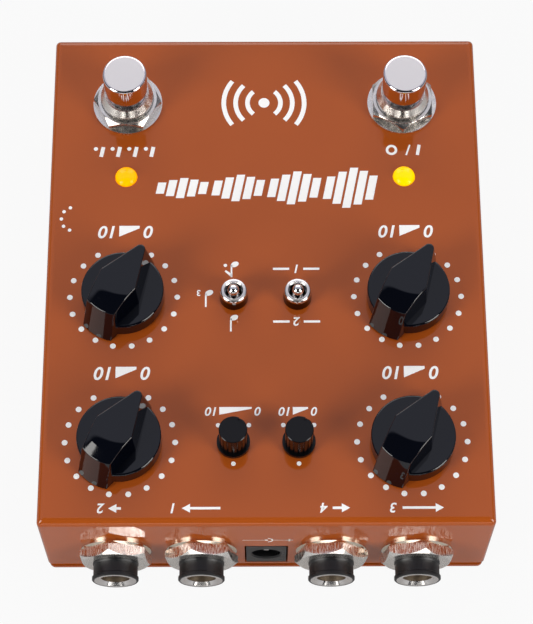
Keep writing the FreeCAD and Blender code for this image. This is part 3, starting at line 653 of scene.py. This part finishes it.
def range_label(target, x, y, width, height):
    """A label for a dial: a nought, a growing wedge and a ten."""
    nought = x - width / 2 + height * NOUGHT_INSET
    ten = x + width / 2 - height * TEN_INSET
    number(target, "0", nought, y, height)
    number(target, "10", ten, y, height)
    left = nought + height * WEDGE_AFTER_NOUGHT
    right = ten - height * WEDGE_BEFORE_TEN
    foot = y - height / 2
    flat_shape(target, [(left, foot), (right, foot), (right, foot + height * WEDGE_HIGH),
                        (left, foot + height * WEDGE_LOW)])


def dial_labels():
    labels = bmesh.new()
    for center in dial_centers:
        range_label(labels, center.x / MM, center.y / MM - DIAL_LABEL_DROP, DIAL_LABEL_WIDTH,
                    DIAL_LABEL_HEIGHT)
    for x, y, width in SMALL_LABELS:
        range_label(labels, x, y, width, SMALL_LABEL_HEIGHT)
    add_to_case("dial_labels", labels, ink)


def note(target, x, y, height):
    """A crotchet: an egg-shaped head with its stem on the right; x and y are the middle of the head."""
    cosine = math.cos(NOTE_TILT)
    sine = math.sin(NOTE_TILT)
    outline = []
    for k in range(ROUND_SIDES):
        u = NOTE_HALF_LENGTH * math.cos(2 * math.pi * k / ROUND_SIDES)
        v = NOTE_HALF_WIDTH * math.sin(2 * math.pi * k / ROUND_SIDES)
        outline.append((x + u * cosine - v * sine, y + u * sine + v * cosine))
    flat_shape(target, outline)
    stroke(target, (x + STEM_OUT, y + STEM_FOOT), (x + STEM_OUT, y + height), STEM_WIDTH)


def switch_signs():
    """Note values round the three-way toggle, and plain numbers at the two-way toggle."""
    signs = bmesh.new()
    note(signs, *DOTTED_NOTE)
    flat_shape(signs, DOTTED_NOTE_FLAG)
    disc(signs, *DOTTED_NOTE_DOT, SMALL_ROUND_SIDES)
    note(signs, *TRIPLET_NOTE)
    number(signs, "3", *TRIPLET_FIGURE, slant=0.0)
    note(signs, *PLAIN_NOTE)
    for text, y in TOGGLE_NUMBERS:
        number(signs, text, TOGGLE_NUMBER_X, y, TOGGLE_NUMBER_HEIGHT)
        for left, right in TOGGLE_DASHES:
            stroke(signs, (left, y), (right, y), TOGGLE_DASH_WIDTH)
    add_to_case("switch_signs", signs, ink)


def footswitch_signs():
    """Four beats over the tapped switch, a line and a ring over the other."""
    signs = bmesh.new()
    for k in range(BEAT_COUNT):
        x = BEAT_LEFT + BEAT_STEP * k
        stroke(signs, (x + BEAT_LEAN, BEAT_TOP), (x, BEAT_FOOT), BEAT_WIDTH)
        disc(signs, x + BEAT_DOT_OUT, BEAT_DOT_Y, BEAT_DOT_RADIUS, BEAT_DOT_SIDES)
    for start, end, width in POWER_STROKES:
        stroke(signs, start, end, width)
    arc_stroke(signs, *POWER_RING, 0, 360, POWER_RING_STEPS)
    add_to_case("footswitch_signs", signs, ink)


def echo_sign():
    """A large sign of fading echoes: groups of slanted bars, each group lower than the one before."""
    bars = bmesh.new()
    place = ECHO_LEFT
    middle = ECHO_FOOT + ECHO_HEIGHT / 2
    for strength in ECHO_STRENGTHS:
        for share in ECHO_SHAPE:
            half = ECHO_HEIGHT * strength * share / 2
            shift = ECHO_LEAN * half
            right = place + ECHO_BAR_WIDTH
            flat_shape(bars, [(place - shift, middle - half), (right - shift, middle - half),
                              (right + shift, middle + half), (place + shift, middle + half)])
            place += ECHO_BAR_STEP
        place += ECHO_GROUP_GAP
    add_to_case("echo_sign", bars, ink)


def arrow(target, tail, tip, y, height):
    """A printed arrow along X."""
    way = 1 if tip > tail else -1
    neck = tip - way * height * ARROW_HEAD_SHARE
    half = height * ARROW_HALF_SHARE
    stroke(target, (tail, y), (neck, y), height * ARROW_SHAFT_SHARE)
    flat_shape(target, [(neck, y - half), (tip, y), (neck, y + half)])


def jack_signs():
    """Numbers at the jack sockets, with an arrow that shows which way the sound goes."""
    signs = bmesh.new()
    for text, x, tail, tip in JACK_SIGNS:
        number(signs, text, x, JACK_LABEL_Y, JACK_LABEL_HEIGHT * JACK_NUMBER_SHARE)
        arrow(signs, tail, tip, JACK_LABEL_Y, JACK_LABEL_HEIGHT)
    add_to_case("jack_signs", signs, ink)


def side_sign():
    """Five pins in an arc, beside the wall that holds the round socket."""
    signs = bmesh.new()
    for angle in PIN_ANGLES:
        turn = math.radians(angle)
        disc(signs, PIN_CENTER[0] + PIN_REACH[0] * math.cos(turn),
             PIN_CENTER[1] + PIN_REACH[1] * math.sin(turn), PIN_RADIUS, SMALL_ROUND_SIDES)
    add_to_case("side_sign", signs, ink)


def sound_sign():
    """A dot with waves that go out to both sides."""
    waves = bmesh.new()
    disc(waves, *SOUND_CENTER, SOUND_DOT, SOUND_DOT_SIDES)
    for radius, half in SOUND_WAVES:
        for middle in (0, 180):
            arc_stroke(waves, *SOUND_CENTER, radius, SOUND_WIDTH, middle - half, middle + half)
    add_to_case("sound_sign", waves, ink)


def polarity_sign():
    """The sign for an inlet with its centre pin at minus, on the rear wall over the inlet."""
    sign = bmesh.new()
    disc(sign, 0, 0, POLARITY_DOT, POLARITY_DOT_SIDES)
    arc_stroke(sign, 0, 0, *POLARITY_BOWL)
    for start, end, width in POLARITY_STROKES:
        stroke(sign, start, end, width)
    for vertex in sign.verts:
        vertex.co = (vertex.co.x, case_high.y + PRINT_HEIGHT * MM,
                     case_high.z - POLARITY_DROP * MM + vertex.co.y)
    for face in sign.faces:
        face.normal_flip()
    add_to_case("polarity_sign", sign, ink)


# Stage, lights and camera

def floor_material():
    """A floor that is white to the camera and keeps the object's shadow."""
    material, tree, shader = new_material("floor_white")
    shader.inputs["Base Color"].default_value = FLOOR_COLOR
    shader.inputs["Roughness"].default_value = 0.9
    glow = tree.nodes.new("ShaderNodeEmission")
    glow.inputs["Color"].default_value = (1, 1, 1, 1)
    glow.inputs["Strength"].default_value = 1.0
    path = tree.nodes.new("ShaderNodeLightPath")
    share = 0.0
    for ray, amount in (("Is Camera Ray", FLOOR_WHITE), ("Is Glossy Ray", FLOOR_MIRRORED),
                        ("Is Transmission Ray", FLOOR_MIRRORED)):
        share = calculate(tree, "MULTIPLY_ADD", path.outputs[ray], amount, share)
    lit = tree.nodes.new("ShaderNodeMixShader")
    tree.links.new(share, lit.inputs[0])
    tree.links.new(shader.outputs[0], lit.inputs[1])
    tree.links.new(glow.outputs[0], lit.inputs[2])
    tree.links.new(lit.outputs[0], tree.nodes["Material Output"].inputs["Surface"])
    return material


def build_stage():
    corners = [(x * FLOOR_REACH, y * FLOOR_REACH, -FLOOR_DROP)
               for x, y in ((-1, -1), (1, -1), (1, 1), (-1, 1))]
    mesh = bpy.data.meshes.new("floor")
    mesh.from_pydata(corners, [], [(0, 1, 2, 3)])
    add_object("floor", mesh, floor_material())


def build_world():
    """A pale bluish ceiling over the far side, dark elsewhere, and white to the camera."""
    world = bpy.data.worlds.new("studio")
    bpy.context.scene.world = world
    world.use_nodes = True
    tree = world.node_tree
    background = tree.nodes["Background"]
    coords = tree.nodes.new("ShaderNodeTexCoord")
    shades = []
    for way, edge, before, past in ((CEILING_WAY, CEILING_EDGE, WORLD_DARK, 1.0),
                                    (DARK_WAY, DARK_EDGE, 1.0, WORLD_DARK)):
        toward = vector_math(tree, "DOT_PRODUCT", coords.outputs["Generated"], way.normalized())["Value"]
        shades.append(ramp(tree, toward, *edge, before, past))
    seen = tree.nodes.new("ShaderNodeLightPath").outputs["Is Camera Ray"]
    strength = calculate(tree, "MAXIMUM", calculate(tree, "MINIMUM", *shades), seen)
    tree.links.new(strength, background.inputs["Strength"])
    tree.links.new(mix_color(tree, seen, WORLD_CEILING, WORLD_SEEN), background.inputs["Color"])


def area_light(name, place, width, height, power):
    light = bpy.data.lights.new(name, "AREA")
    light.shape = "RECTANGLE"
    light.size = width
    light.size_y = height
    light.energy = power
    light.color = LIGHT_COLOR
    lamp = bpy.data.objects.new(name, light)
    lamp.location = place
    lamp.rotation_euler = (Vector(LIGHT_TARGET) - Vector(place)).to_track_quat("-Z", "Y").to_euler()
    bpy.context.scene.collection.objects.link(lamp)


def build_camera():
    camera = bpy.data.cameras.new("camera")
    camera.lens = CAMERA_LENS
    camera.sensor_width = CAMERA_SENSOR
    piece = bpy.data.objects.new("camera", camera)
    piece.location = CAMERA_PLACE
    piece.rotation_euler = CAMERA_TURN
    bpy.context.scene.collection.objects.link(piece)
    bpy.context.scene.camera = piece


dress_nodes()
base_rim()
dial_dots()
dial_labels()
switch_signs()
footswitch_signs()
echo_sign()
sound_sign()
jack_signs()
polarity_sign()
side_sign()
build_stage()
build_world()
for settings in LIGHTS:
    area_light(*settings)
build_camera()
bpy.context.scene.view_settings.view_transform = "Standard"
